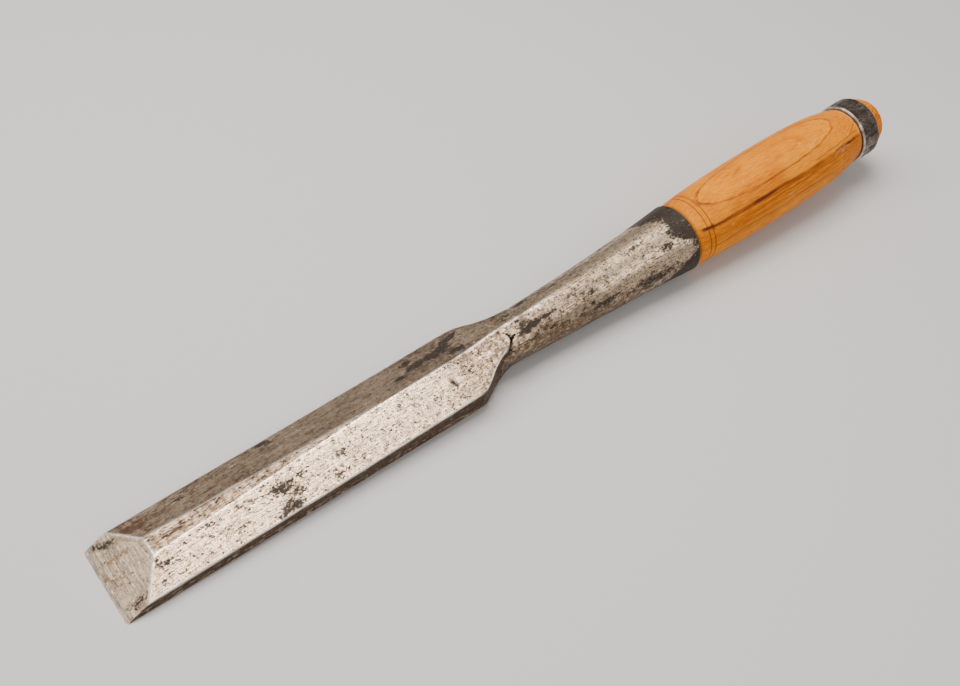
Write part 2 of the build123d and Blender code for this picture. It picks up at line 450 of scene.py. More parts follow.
def build_steel():
    """The tool-steel plate along the flat back, which carries the cutting edge."""
    places = np.concatenate([np.arange(0.0, 24.0, 0.4), np.linspace(24.0, STEEL_END_X - 0.5, 250)])
    rows = []
    for x in places:
        top = float(min(steel_top(x), bevel_height(x)))
        corners = [(-HALF_WIDTH, 0.0), (HALF_WIDTH, 0.0), (HALF_WIDTH, top), (-HALF_WIDTH, top)]
        points = outline(corners, STEEL_COUNTS)
        soft = min(0.07, 0.2 * top)
        from_middle = points - (0, top / 2)
        past = np.maximum(abs(from_middle) - (HALF_WIDTH - soft, top / 2 - soft), 0)
        gap = np.hypot(*past.T)
        over = np.maximum(gap - soft, 0) / np.maximum(gap, 1e-6)
        points -= np.sign(from_middle) * past * over[:, None]
        rows.append(np.insert(points, 0, x, axis=1))
    return capped_rings("laid_edge_steel", rows)


def round_angles(count):
    return np.linspace(0, 2 * np.pi, count, endpoint=False)


def round_the_axis(along, radius, angles):
    """Points on a circle round the handle's axis; along is counted from the socket's mouth."""
    across = np.sin(angles)[:, None] * np.array([0.0, 1.0, 0.0])
    up = np.cos(angles)[:, None] * AXIS_UP
    return MOUTH + along * AXIS + radius * (across + up)


BORE_MOUTH_RADIUS = 15.0
BORE_DEPTH = 78.0
BORE_TAPER = 0.077
BORE_TIP_DEPTH = 4.0
MOUTH_ROUND = 0.8


def build_socket():
    """The neck and the socket's tapered skin, its rounded mouth and the tapered bore."""
    angles = round_angles(240)
    rows = []
    for x in np.concatenate([np.linspace(WELD_X, 222.0, 66), np.linspace(222.4, 301.9, 196)]):
        near_weld = max(0.0, 1 - (x - WELD_X) / 20.0)
        near_mouth = max(0.0, (x - SQUARE_ROWS_X) / (MOUTH_X - SQUARE_ROWS_X))
        points = forging_point(np.full(len(angles), float(x)), angles)
        for _ in range(4):
            weld = near_weld * (weld_place(points) - WELD_X)
            tilt = near_mouth * AXIS_RISE * (points[:, 2] - MOUTH[2])
            points = forging_point(x + weld - tilt, angles)
        rows.append(points)
    mouth_radius = NECK_RADIUS[-1][1]
    for turn in np.linspace(0.15, 1, 6) * np.pi / 2:
        radius = mouth_radius - MOUTH_ROUND * (1 - math.cos(turn))
        rows.append(round_the_axis(-MOUTH_ROUND * (1 - math.sin(turn)), radius, angles))
    for radius in (16.4, 16.0, 15.6, BORE_MOUTH_RADIUS + 0.2):
        rows.append(round_the_axis(0.0, radius, angles))
    for depth in np.concatenate([[0.2, 0.8, 1.6], np.linspace(3, BORE_DEPTH, 40)]):
        rows.append(round_the_axis(-depth, BORE_MOUTH_RADIUS - BORE_TAPER * depth, angles))
    last = BORE_MOUTH_RADIUS - BORE_TAPER * BORE_DEPTH
    for share in (0.3, 0.6, 0.9):
        rows.append(round_the_axis(-BORE_DEPTH - BORE_TIP_DEPTH * share, last * (1 - share), angles))
    return capped_rings("forged_socket", rows, -0.1 * BORE_TIP_DEPTH)


# ---------------- wear on the forging
def blob(along, across, place, size, ragged):
    """A ragged patch that thins out: 1 in its middle and 0 outside it."""
    gap = np.hypot((along - place[0]) / size[0], (across - place[1]) / size[1])
    return 1 - ramp(gap + 0.45 * ragged, 0.0, 1.45)


def near_line(along, across, stops, width, points, seed, wander=0.35):
    """1 on a broken line through stops, falling to 0 at width from it."""
    a = along + wander * noise(points, 1.7, seed)
    b = across + wander * noise(points, 1.7, seed + 9)
    best = np.full(a.shape, 1e9)
    for (a0, b0), (a1, b1) in zip(stops[:-1], stops[1:]):
        length = (a1 - a0) ** 2 + (b1 - b0) ** 2
        t = np.clip(((a - a0) * (a1 - a0) + (b - b0) * (b1 - b0)) / length, 0, 1)
        best = np.minimum(best, np.hypot(a - a0 - t * (a1 - a0), b - b0 - t * (b1 - b0)))
    return 1 - ramp(best, 0.2 * width, width)


MOUTH_SKIN = ((-180, 281), (-110, 284), (-85, 292), (-66, 300.5), (-52, 299), (-38, 293), (-20, 289.5),
              (3, 291.5), (30, 283), (60, 279), (110, 279), (180, 281))


NICKS = ((168.4, -6.8, 1.2, 0.6), (130.6, -11.3, 0.8, 0.4), (125.1, -2.5, 0.7, 0.4), (111, -15, 0.6, 0.5))

# x, y, half length, half width and strength of the patches on top of the blade
BLACK_ON_BLADE = (
    (143, 7.5, 4.0, 1.8, 1.4), (152.5, 9.2, 6.0, 3.0, 1.4), (161, 9.6, 7.0, 3.6, 1.4),
    (167, 10.3, 5.4, 3.2, 1.4), (172, 4.3, 4.6, 2.6, 1.4), (172.8, 14.0, 6.0, 2.2, 1.4),
    (78, 17.4, 6.4, 1.7, 1.1), (150, 14, 4, 1.6, 1.4), (82, 15.6, 3.0, 1.5, 0.8),
    (131, 5.5, 5, 1.6, 0.5), (45, 15, 18, 3.2, 0.5), (74.5, -8.2, 6.6, 3.0, 0.95),
    (80, -12.0, 5.0, 3.2, 0.75), (75, -16.2, 7.2, 3.2, 1.0), (102, -8.6, 5.4, 1.8, 0.62),
    (98, -15.6, 4.4, 1.8, 0.55), (9.0, 13.6, 2.8, 2.3, 1.0), (24.5, -9.4, 3.4, 1.0, 0.7),
    (54, -13, 4, 1.6, 0.4), (62, -7, 4, 1.4, 0.4), (168, -7, 5, 3.0, 0.42),
    (44, -6.5, 5, 1.4, 0.35), (8.0, -15.4, 6.0, 2.8, 0.80), (4.8, 16.8, 2.4, 1.8, 0.85),
    (84, -7.2, 3.0, 1.2, 0.7), (86, -16, 2.4, 1.2, 0.6), (69.5, -18.2, 3.0, 1.0, 0.8),
    (56.4, -6, 1.8, 0.9, 0.6), (32.7, -6.8, 2.0, 1.0, 0.55), (42.2, -9.9, 1.6, 1.0, 0.5),
    (49, -16.6, 1.0, 0.6, 0.8), (6.9, 15.0, 3.0, 1.7, 0.9),
)
# the same for the neck and the socket, with y and the half width in degrees round it
BLACK_ON_SOCKET = (
    (201, -36, 3.2, 9, 1.15), (207, -33, 6.8, 8.4, 1.1), (215, -31.5, 6.4, 4.2, 1.0),
    (202, -21, 4.5, 14, 0.62), (200.5, -10, 2.0, 6, 0.9), (226, -33, 2.2, 4, 0.7),
    (238, -59, 2.4, 5, 0.8), (199, 22, 4.5, 12, 0.7), (210, 38, 7, 12, 0.8), (229, -22, 3.0, 5, 0.8),
    (240, -36, 2.4, 5, 0.8), (262, 44, 10, 11, 0.7), (224, -42, 12, 4, 0.5), (246, -72, 12, 9, 0.7),
    (276, -80, 16, 16, 0.8), (270, -8, 9, 7, 0.45), (285, -38, 7, 7, 0.75), (232, 52, 10, 9, 0.7),
)
RUST_ON_BLADE = (
    (19, 12.8, 11, 5.2, 0.9), (40, 14, 18, 3.8, 0.5), (9.4, 5.4, 4.4, 3.0, 0.58),
    (5.5, 0.5, 3.6, 3.6, 0.44), (8.5, -15.6, 6.0, 2.8, 0.74), (19, -16, 5.4, 3.0, 0.62),
    (27, -16, 7.0, 2.2, 0.55), (20.5, -8, 3.5, 3.5, 0.6), (24, -11, 8, 4.4, 0.5),
)
# the line, its width and its strength, for smears on the main bevel
RUST_SMEARS = (
    (((12.5, 5.1), (8.8, 7.0), (5.3, 7.4)), 1.6, 0.92), (((9.6, 6.6), (6.9, 1.7)), 1.4, 0.82),
    (((2.0, 1.9), (4.9, -3.9)), 1.4, 0.84), (((4.2, -1.0), (8.2, -2.7)), 1.3, 0.74),
)


class Wear:
    """Where on the forging each point lies, and what age has done to it there."""

    def __init__(self, points, normals):
        self.points = points
        self.normals = normals
        self.x, self.y, self.z = points.T
        nx, ny, nz = normals.T
        self.faces_up = ramp(nz, 0.2, 0.5)
        centre = smooth_curve(NECK_HEIGHT, self.x)
        self.azimuth = np.degrees(np.arctan2(self.y, self.z - centre))
        self.radius = np.hypot(self.y, self.z - centre)
        self.arc = np.radians(self.azimuth) * smooth_curve(NECK_RADIUS, self.x)
        crack_place = np.maximum(194.0 + 1.15 * np.minimum(self.arc + 6.8, 0), 185.0)
        near_neck = ramp(self.x - crack_place, -0.9, 0.9)
        self.on_socket = np.where(self.y < 0, near_neck, ramp(self.x, 190, 200))
        on_blade = 1 - self.on_socket
        self.main_bevel = on_blade * ramp(-nx, 0.25, 0.4) * ramp(nz, 0.5, 0.7)
        top = on_blade * ramp(nz, 0.5, 0.7) * (1 - self.main_bevel)
        self.near = top * ramp(-ny, 0.12, 0.25)
        self.far = top * ramp(ny, 0.12, 0.25)
        self.strip = top * (1 - self.near) * (1 - self.far)
        self.wall = on_blade * ramp(abs(ny), 0.6, 0.85)
        self.back = ramp(-nz, 0.6, 0.9) * (1 - self.on_socket)
        self.ragged = rough_noise(points, (4.2, 2.6, 2.6), 50)
        self.inside = self.find_inside()

    def find_inside(self):
        """Points on the bore, the welds and the hidden faces between the pieces."""
        gap = self.points - MOUTH
        along = gap @ AXIS
        radius = np.linalg.norm(gap - along[:, None] * AXIS, axis=1)
        bore = (along > -BORE_DEPTH - 5) & (along < 0.05)
        bore &= radius < BORE_MOUTH_RADIUS + BORE_TAPER * along + 0.35
        lamination = (self.x > 5) & (self.x < STEEL_END_X) & (abs(self.z - steel_top(self.x)) < 0.06)
        lamination &= abs(self.y) < HALF_WIDTH - 0.12
        weld = (abs(self.x - weld_place(self.points)) < 0.02) & (self.radius < 7)
        return bore | lamination | weld

    def weigh(self, **weights):
        """A sum over the named faces, each with its own weight."""
        return sum(weight * getattr(self, face) for face, weight in weights.items())

    def patch(self, x, y, long, wide):
        """A patch on top of the blade."""
        return blob(self.x, self.y, (x, y), (long, wide), self.ragged) * self.faces_up

    def socket_patch(self, x, azimuth, long, wide):
        """A patch on the neck or the socket; wide is in degrees round it."""
        gap = (self.azimuth - azimuth + 180) % 360 - 180
        return blob(self.x, gap, (x, 0), (long, wide), self.ragged)

    def mouth_ring(self):
        """Dark skin round the mouth; how far it reaches back differs round the socket."""
        start = smooth_curve(MOUTH_SKIN, self.azimuth)
        return ramp(self.x - start + 2.5 * self.ragged, -4.0, 4.5) * self.on_socket

    def gouge(self):
        """A short slanting cut across the near bevel."""
        cut = [(160.1, -7.7), (160.7, -9.2), (161.4, -10.7)]
        return near_line(self.x, self.y, cut, 0.95, self.points, 44, 0.12) * (self.normals[:, 2] > 0.5)

    def crack(self, width):
        """The forked crack across the weld, on the near side of the neck."""
        stem = [(188.8, -11.2), (190.2, -9.6), (191.6, -8.3), (193.4, -6.8)]
        upper = [(193.4, -6.8), (193.2, -5.4), (192.8, -4.0)]
        branch = [(193.4, -6.8), (194.6, -6.6), (195.9, -6.3)]
        outside = self.normals[:, 1] < 0.35
        lines = [near_line(self.x, self.arc, line, width, self.points, 40, 0.25) for line in (stem, upper)]
        lines.append(near_line(self.x, self.arc, branch, 0.8 * width, self.points, 41, 0.25))
        return np.max(lines, axis=0) * outside

    def relief(self):
        """How far each point moves outwards, in mm."""
        p = self.points
        forged = np.maximum(self.on_socket, ramp(self.x, 168, 186))
        moved = 0.10 * forged * noise(p, (26, 15, 15), 3) + 0.06 * forged * noise(p, (8, 5, 5), 4)
        moved += 0.035 * (1 - forged) * noise(p, (30, 9, 9), 5)
        moved += 0.028 * self.far * rough_noise(p, (7, 3, 3), 6)
        rough = 0.35 + 0.65 * ramp(noise(p, 13, 8), -0.2, 0.5)
        pitted = rough * self.weigh(near=0.85, far=0.9, strip=0.5, wall=0.6, main_bevel=0.25, back=0.5,
                                    on_socket=1.0)
        small = pits(p, 2.0, 11, share=0.42, widest=0.36)
        large = pits(p, 5.5, 12, share=0.22, widest=0.24)
        moved -= pitted * (0.10 * small + 0.17 * large)
        self.hollow = np.clip(pitted * (small + 1.2 * large), 0, 1)
        moved -= 0.06 * self.black() * (1 + rough_noise(p, 1.6, 14)) * (1 - 0.8 * self.mouth_ring())
        for nick in NICKS:
            moved -= 0.20 * self.patch(*nick)
        moved -= 0.55 * self.crack(0.55) + 0.35 * self.gouge()
        moved *= 1 - hill(self.x, 0.5)
        moved = np.where(self.normals[:, 2] < -0.6, np.minimum(moved, 0), moved)
        return np.where(self.inside, 0, moved)

    def chipped_edge(self, points):
        """Points with the cutting edge's small chips and its worn near corner taken away."""
        x, y, z = points.T
        chips = 0.10 + 0.10 * noise(points * [0, 1, 0], 3.1, 21) + 0.05 * noise(points * [0, 1, 0], 0.9, 22)
        corner = 0.75 * hill(y + 19.2, 0.9) + 0.35 * hill(y - 19.2, 0.6)
        nick = 0.22 * hill(y + 8.4, 0.35) + 0.16 * hill(y - 3.1, 0.3)
        back = np.clip(chips, 0, 1) + corner + nick
        moved = points.copy()
        moved[:, 0] += back * (1 - ramp(x, 0.0, 2.6))
        return moved

    def black(self):
        """Black oxide and old scale."""
        spots = [w * self.patch(*place) for *place, w in BLACK_ON_BLADE]
        spots += [w * self.socket_patch(*place) for *place, w in BLACK_ON_SOCKET]
        under = self.on_socket * ramp(abs(self.azimuth), 104, 140) * ramp(self.ragged, -0.4, 0.5)
        return np.max(spots + [self.mouth_ring(), 0.85 * under], axis=0)

    def rust(self):
        """Red-brown rust, in patches and in streaks along the blade."""
        p = self.points
        patchy = rough_noise(p, (6, 3, 3), 110)
        streaks = rough_noise(p, (16, 1.6, 1.6), 111)
        spots = [w * self.patch(*place) for *place, w in RUST_ON_BLADE]
        spots += [w * near_line(self.x, self.y, stops, width, p, 112, 0.9) * self.main_bevel
                  for stops, width, w in RUST_SMEARS]
        far = self.far * ramp(patchy, 0.12, 0.5) * (0.75 - 0.45 * ramp(self.x, 50, 100))
        strip = self.strip * ramp(streaks, -0.02, 0.36) * (0.85 - 0.35 * ramp(self.x, 75, 120))
        foot = self.wall * (1 - ramp(self.z, 2.2, 2.6))
        wall = self.wall * (1.0 + 0.3 * ramp(streaks, -0.3, 0.3)) * (1 - 0.28 * foot)
        back = self.back * ramp(patchy, 0.0, 0.45) * 0.8
        low = hill(self.azimuth + 62, 16) * (1 - ramp(self.x, 215, 240))
        socket = self.on_socket * (0.5 * ramp(patchy, 0.2, 0.6) * ramp(abs(self.azimuth), 60, 100)
                                   + 0.75 * low * ramp(streaks, -0.15, 0.35))
        return np.max(spots + [far, strip, 0.95 * wall, back, socket], axis=0)

    def patina_and_shade(self):
        """Thin brown-grey tarnish over the bare metal, with painted shade on the lower half of the neck and
        socket.
        """
        cloud = 0.5 + 0.5 * rough_noise(self.points, (14, 6, 6), 120)
        amount = self.weigh(near=0.17, far=0.66, strip=0.70, wall=0.90, main_bevel=0.16, back=0.5,
                            on_socket=0.20)
        smooth = self.far * between(self.x, 80, 90, 138, 148)
        shoulder = (self.near + self.strip) * ramp(self.x, 150, 176)
        neck = self.on_socket * (1 - ramp(self.x, 232, 262))
        # painted shade: extra tarnish over the lower half of the neck and socket, full from the sides down
        low = self.on_socket * ramp(abs(self.azimuth + 4), 46, 84)
        amount = amount - 0.12 * smooth + 0.58 * shoulder + 0.36 * neck + 0.62 * low
        return amount * (0.45 + 1.1 * cloud)

    def pitting(self):
        """How thickly the surface is speckled with fine dark pits."""
        cloud = 0.5 + 0.5 * rough_noise(self.points, (11, 7, 7), 130)
        amount = self.weigh(near=0.72, far=0.85, strip=0.6, wall=0.5, main_bevel=0.25, back=0.6,
                            on_socket=1.0)
        return amount * (0.6 + 0.6 * cloud)

    def bright(self):
        """Bare metal along the worn edges, with painted highlights: a pale band along the far edge of the
        strip, and the near wall's top edge brighter than the far one.
        """
        half = flat_half(self.x)
        roof = smooth_curve(CROWN, self.x) - roof_slope(self.x) * np.maximum(abs(self.y) - half, 0)
        on_top = self.faces_up * (1 - ramp(self.x, 168, 176))
        meeting = hill(roof - bevel_height(self.x), 0.32) * on_top * (self.x > 8)
        strip = hill(abs(self.y) - half, 0.30) * on_top * ramp(self.x, 20, 22)
        plan = np.where(self.y < 0, smooth_curve(NEAR_PLAN, self.x), smooth_curve(FAR_PLAN, self.x))
        wall_top = hill(abs(self.y) - plan, 0.42) * hill(self.z - roof, 0.60)
        wall_top = 1.4 * wall_top * (1 - ramp(self.x, 188, 192))
        ridge = hill(self.y, 0.7) * between(self.x, 165, 175, 215, 240) * (self.z > 12)
        edge = 1 - ramp(self.x, 0.3, 1.2)
        broken = 0.6 + 0.5 * rough_noise(self.points, (5, 2, 2), 140)
        # painted highlight: the near wall's top edge is made brighter than the far one
        near_wall_highlight = 0.75 + 0.25 * (self.y < 0)
        # painted highlight: a pale band along the far edge of the strip, as if light glinted off its rounded
        # edge
        far_edge_highlight = 0.55 * hill(self.y - half - 0.3, 0.60) * on_top * ramp(self.x, 20, 22)
        far_edge_highlight = far_edge_highlight * (1 - ramp(self.x, 118, 133))
        lines = [meeting, 0.75 * strip, far_edge_highlight, wall_top * near_wall_highlight, 0.7 * ridge, 0.7 * edge]
        return np.max(lines, axis=0) * broken


def age_forging(obj):
    """Move the points of a forged piece by its wear and leave the masks its material reads."""
    points, normals = tool_points(obj)
    wear = Wear(points, normals)
    moved = points + wear.relief()[:, None] * normals
    moved = np.where((points[:, 0] < 3.0)[:, None], wear.chipped_edge(moved), moved)
    masks = {
        "black": wear.black(), "rust": wear.rust(), "patina_and_shade": wear.patina_and_shade(), "pitting": wear.pitting(),
        "bright": wear.bright(), "hollow": wear.hollow, "bevel": wear.main_bevel,
        "crack": np.maximum(wear.crack(0.8), wear.gouge()),
    }
    set_age(obj, masks, points, moved, wear.inside, 0.3)


# ---------------- the handle and its hoop
TENON_LENGTH = 72.0
TENON_CLEARANCE = 0.04
HANDLE_GAP = 0.4
GRIP = ((0.4, 16.4), (1.5, 16.72), (12.2, 17.73), (27.2, 18.6), (42.2, 19.16), (57.2, 19.4), (72.2, 19.38),
        (87.2, 19.07), (100.2, 18.42), (109.2, 17.46), (117.0, 16.05), (122.0, 14.95))
GROOVES = (7.6, 10.4)
GROOVE_HALF_WIDTH = 0.35
GROOVE_DEPTH = 0.35
GRIP_END = 122.0
HOOP_START = 122.6
HOOP_END = 134.5
HOOP_RADIUS = 16.3
HOOP_BORE = 14.3
SEAT_RADIUS = 14.25
END_STRAIGHT = 2.0
END_DOME = 11.1


def handle_profile():
    """(place past the mouth, radius) down the handle, from the tenon's tip to the domed end."""
    tip = BORE_MOUTH_RADIUS - BORE_TAPER * TENON_LENGTH - TENON_CLEARANCE
    rows = [(-TENON_LENGTH, r) for r in (3.0, 6.0, tip - 1.0)]
    for u in np.linspace(-TENON_LENGTH + 1.0, HANDLE_GAP, 60):
        rows.append((u, BORE_MOUTH_RADIUS + BORE_TAPER * u - TENON_CLEARANCE))
    rows += [(HANDLE_GAP, r) for r in (15.4, 15.9, 16.2)]
    fine = np.arange(HANDLE_GAP, 13.0, 0.14)
    for u in np.concatenate([fine, np.arange(13.0, 112.0, 0.5), np.arange(112.0, GRIP_END, 0.25)]):
        groove = max(1 - abs(u - g) / GROOVE_HALF_WIDTH for g in GROOVES)
        radius = float(smooth_curve(GRIP, u)) - GROOVE_DEPTH * max(groove, 0) ** 0.8
        start = max(0.0, 1 - (u - HANDLE_GAP) / 0.35)
        end = max(0.0, 1 - (GRIP_END - u) / 0.6)
        rows.append((u, radius - 0.18 * start ** 2 - 0.28 * end ** 2))
    rows += [(GRIP_END, 14.55), (GRIP_END + 0.05, SEAT_RADIUS)]
    rows += [(u, SEAT_RADIUS) for u in np.linspace(HOOP_START, HOOP_END, 12)]
    rows += [(u, SEAT_RADIUS) for u in np.linspace(HOOP_END + 0.3, HOOP_END + END_STRAIGHT, 6)]
    for turn in np.linspace(0.03, 0.995, 34) * np.pi / 2:
        dome = math.sin(turn) ** 1.12
        rows.append((HOOP_END + END_STRAIGHT + END_DOME * dome, SEAT_RADIUS * math.cos(turn) ** 0.86))
    return rows


def build_handle():
    """One turned piece of wood: hidden tenon, swelling grip, hoop seat and domed end."""
    angles = round_angles(216)
    rings = [round_the_axis(u, radius, angles) for u, radius in handle_profile()]
    return capped_rings("turned_handle_wood", rings, 0.01)


def build_hoop():
    """A steel ring with chamfered corners, a little uneven from being driven on."""
    angles = round_angles(220)
    soft = 0.12
    section = [(HOOP_START, HOOP_BORE), (HOOP_START, HOOP_BORE + 0.6), (HOOP_START, 15.5),
               (HOOP_START + 0.03, HOOP_RADIUS - 0.5 - soft), (HOOP_START + soft, HOOP_RADIUS - 0.5),
               (HOOP_START + 0.3, HOOP_RADIUS - 0.24), (HOOP_START + 0.5, HOOP_RADIUS - soft / 2),
               (HOOP_START + 0.5 + soft, HOOP_RADIUS)]
    section += [(u, HOOP_RADIUS) for u in np.linspace(HOOP_START + 1.0, HOOP_END - 0.9, 24)]
    section += [(HOOP_END - 0.4 - soft, HOOP_RADIUS), (HOOP_END - 0.4, HOOP_RADIUS - soft / 2),
                (HOOP_END - 0.2, HOOP_RADIUS - 0.2), (HOOP_END - 0.03, HOOP_RADIUS - 0.4),
                (HOOP_END, HOOP_RADIUS - 0.6), (HOOP_END, 15.2), (HOOP_END, HOOP_BORE + 0.12),
                (HOOP_END - 0.12, HOOP_BORE)]
    section += [(u, HOOP_BORE) for u in np.linspace(HOOP_END - 1.5, HOOP_START + 1.0, 6)]
    rings = [round_the_axis(u, radius, angles) for u, radius in section]
    rings.append(rings[0])
    return mesh_object("hoop_ring", np.concatenate(rings), ring_faces(len(rings), len(angles)))


class Round:
    """Places on the handle or the hoop: along its axis, round it, and across it."""

    def __init__(self, points):
        self.points = points
        gap = points - MOUTH
        self.along = gap @ AXIS
        self.side = gap[:, 1]
        self.up = gap @ AXIS_UP
        self.azimuth = np.degrees(np.arctan2(self.side, self.up))
        self.radius = np.hypot(self.side, self.up)
        self.local = np.stack([self.along, self.side, self.up], -1)

    def turned_by(self, azimuth):
        """Degrees round from azimuth, between -180 and 180."""
        return (self.azimuth - azimuth + 180) % 360 - 180

    def streak(self, stops, width, seed, wander=2.2):
        """A line along the wood through (along, azimuth) stops; width is in degrees."""
        places, turns = np.array(stops, float).T
        middle = np.interp(self.along, places, turns) + wander * noise(self.local, (14, 40, 40), seed)
        gap = abs(self.turned_by(0) - middle)
        ends = between(self.along, places[0] - 3, places[0] + 3, places[-1] - 5, places[-1] + 3)
        return (1 - ramp(gap, 0.25 * width, width)) * ends


PITH_DEPTH = 27.0      # the tree's middle lay this far under the handle's axis
OVAL_RING = 44.8       # radius of the ring that shows as the long oval on top
RING_GAP = 3.4
# place along the grip, degrees round it, half length and half width in degrees
DINGS = ((104, -56, 2.0, 3.5), (97, -48, 1.2, 2.5), (62, -70, 2.4, 2.0), (38, -15, 1.3, 2.2),
         (81, -9, 1.0, 2.8), (112, -38, 1.5, 3.0), (22, -62, 1.2, 2.0), (70, 60, 2.5, 3.0), (45, 120, 3, 3))
# the line through (along, azimuth) stops, its width, a noise seed and how far it wanders
THIN_STREAKS = (
    (((30, -62), (112, -60)), 1.3, 43, 1.5), (((10, -82), (95, -80)), 1.6, 44, 2.0),
    (((40, 56), (60, 53), (80, 42), (112, 22)), 1.6, 45, 0.8), (((5, 70), (90, 66)), 1.8, 46),
    (((20, 150), (120, 146)), 3.0, 47), (((8, -128), (100, -131)), 2.4, 48),
    (((42, -34), (92, -29)), 1.1, 52, 1.2), (((84, -45), (121, -40)), 1.3, 53, 0.8),
    (((66, -56), (120, -58)), 1.2, 54, 1.0),
)


def age_handle(obj):
    """Turning marks, dings and streaks on the wood, with its growth rings as a smooth field."""
    points, normals = tool_points(obj)
    place = Round(points)
    local = place.local
    shown = ramp(place.along, 0.3, 1.0)
    pith = PITH_DEPTH + place.up + 0.25 * noise(local, (45, 30, 30), 31)
    rings = np.hypot(pith, place.side + 0.012 * (place.along - 60)) + 0.10 * noise(local, (26, 9, 9), 32)
    rings = (rings - OVAL_RING) / RING_GAP
    grip = shown * (1 - ramp(place.along, GRIP_END - 1, GRIP_END))
    turning = 0.008 * np.sin(place.along * 2 * np.pi / 1.3 + 0.4 * noise(local, 9, 33))
    moved = grip * (turning + 0.05 * noise(local, (22, 12, 12), 34) + 0.012 * noise(local, (3, 2, 2), 35))
    dented = np.zeros(len(points))
    for i, (along, azimuth, long, wide) in enumerate(DINGS):
        gap = np.hypot((place.along - along) / long, place.turned_by(azimuth) / wide)
        dented = np.maximum(dented, np.exp(-gap ** 2 * 1.6) * (0.7 + 0.3 * noise(local, 1.2, 36 + i)))
    moved -= 0.16 * dented * grip
    crown = ramp(place.along, HOOP_END + 1.5, HOOP_END + 6)
    moved += crown * (0.12 * noise(local, 4.5, 37) + 0.05 * noise(local, 1.6, 38))
    dark = place.streak([(4, -46), (16, -49.5), (37, -51), (64, -52), (93, -51.5), (121, -51)], 4.2, 39, 1.4)
    dark *= 1 - 0.45 * between(place.along, 60, 80, 96, 108)
    dark *= 0.85 + 0.4 * noise(local, (7, 3, 3), 42)
    knot = hill(place.along - 10.4, 1.5) * hill(place.turned_by(-48), 4.0)
    thin = [0.55 * place.streak(*line) for line in THIN_STREAKS]
    lower = between(-place.turned_by(0), 48, 54, 62, 90)
    scratch = [hill(place.turned_by(-56) - 5 * np.sin((place.along - 98) / 4), 0.8)
               * between(place.along, 96, 98, 109, 112),
               hill(place.turned_by(-22) - 0.9 * (place.along - 86), 0.9)
               * between(place.along, 83, 84, 90, 92)]
    groove = np.max([hill(place.along - g, 0.24) for g in GROOVES], axis=0)
    masks = {
        "streak": np.max([dark, 1.1 * knot] + thin, axis=0),
        "deeper": np.maximum(lower, 0.8 * ramp(noise(local, (40, 14, 14), 49), 0.0, 0.6)),
        "groove": groove * grip,
        "scuff": np.max([0.8 * s for s in scratch] + [0.9 * dented], axis=0) * grip,
        "worn": hill(place.along - GRIP_END, 0.9) * (0.5 + 0.6 * noise(local, 3, 51)),
        "end": ramp(place.along, HOOP_END - 1, HOOP_END + 1),
        "grime": np.maximum(hill(place.along - 0.4, 1.2), 0.8 * (1 - shown)),
    }
    add_values(obj, "ring", rings)
    set_age(obj, masks, local, points + moved[:, None] * normals)


def age_hoop(obj):
    """Uneven skin, burred corners and worn patches on the hoop."""
    points, normals = tool_points(obj)
    place = Round(points)
    local = place.local
    outside = ramp(place.radius, HOOP_BORE + 0.3, HOOP_BORE + 0.8)
    moved = outside * (0.05 * noise(local, (9, 7, 7), 61) + 0.03 * noise(local, (3, 2, 2), 62))
    hollow = pits(local, 2.4, 63, share=0.35, widest=0.36)
    moved -= outside * 0.09 * hollow
    corner = hill(place.along - HOOP_START - 0.3, 0.42) + 0.6 * hill(place.along - HOOP_END + 0.2, 0.3)
    cloud = 0.5 + 0.5 * rough_noise(local, (7, 4, 4), 64)
    masks = {
        "black": ramp(rough_noise(local, (5, 4, 4), 65), 0.0, 0.45) * 0.8,
        "rust": ramp(rough_noise(local, (4, 3, 3), 66), 0.25, 0.6) * 0.5,
        "patina_and_shade": 0.45 + 0.6 * cloud, "pitting": 0.6 + 0.3 * cloud,
        "bright": corner * (0.65 + 0.4 * noise(local, 2.5, 67)) * (place.radius > 15.3), "hollow": hollow,
        "crack": 0 * cloud, "bevel": 0 * cloud,
    }
    set_age(obj, masks, local, points + moved[:, None] * normals, outside <= 0, 0.4)


# ---------------- materials
class Value:
    """A number or a colour that nodes work out. It can be added and multiplied."""

    def __init__(self, nodes, socket):
        self.nodes = nodes
        self.socket = socket

    def beside(self, output):
        """Another output of the same node."""
        return Value(self.nodes, self.socket.node.outputs[output])

    def held(self):
        """The same sum, kept from 0 to 1."""
        self.socket.node.use_clamp = True
        return self

    def span(self, low, high, to_low=0.0, to_high=1.0):
        """to_low where the value is low, to_high where it is high, and smooth between."""
        inputs = {"Value": self, "From Min": low, "From Max": high, "To Min": to_low, "To Max": to_high}
        return self.nodes.node("ShaderNodeMapRange", inputs, interpolation_type="SMOOTHSTEP")

    def __add__(self, other):
        return self.nodes.sum("ADD", self, other)

    def __sub__(self, other):
        return self.nodes.sum("SUBTRACT", self, other)

    def __rsub__(self, other):
        return self.nodes.sum("SUBTRACT", other, self)

    def __mul__(self, other):
        return self.nodes.sum("MULTIPLY", self, other)

    def most(self, other):
        return self.nodes.sum("MAXIMUM", self, other)

    def part(self):
        return self.nodes.sum("FRACT", self, 0.0)


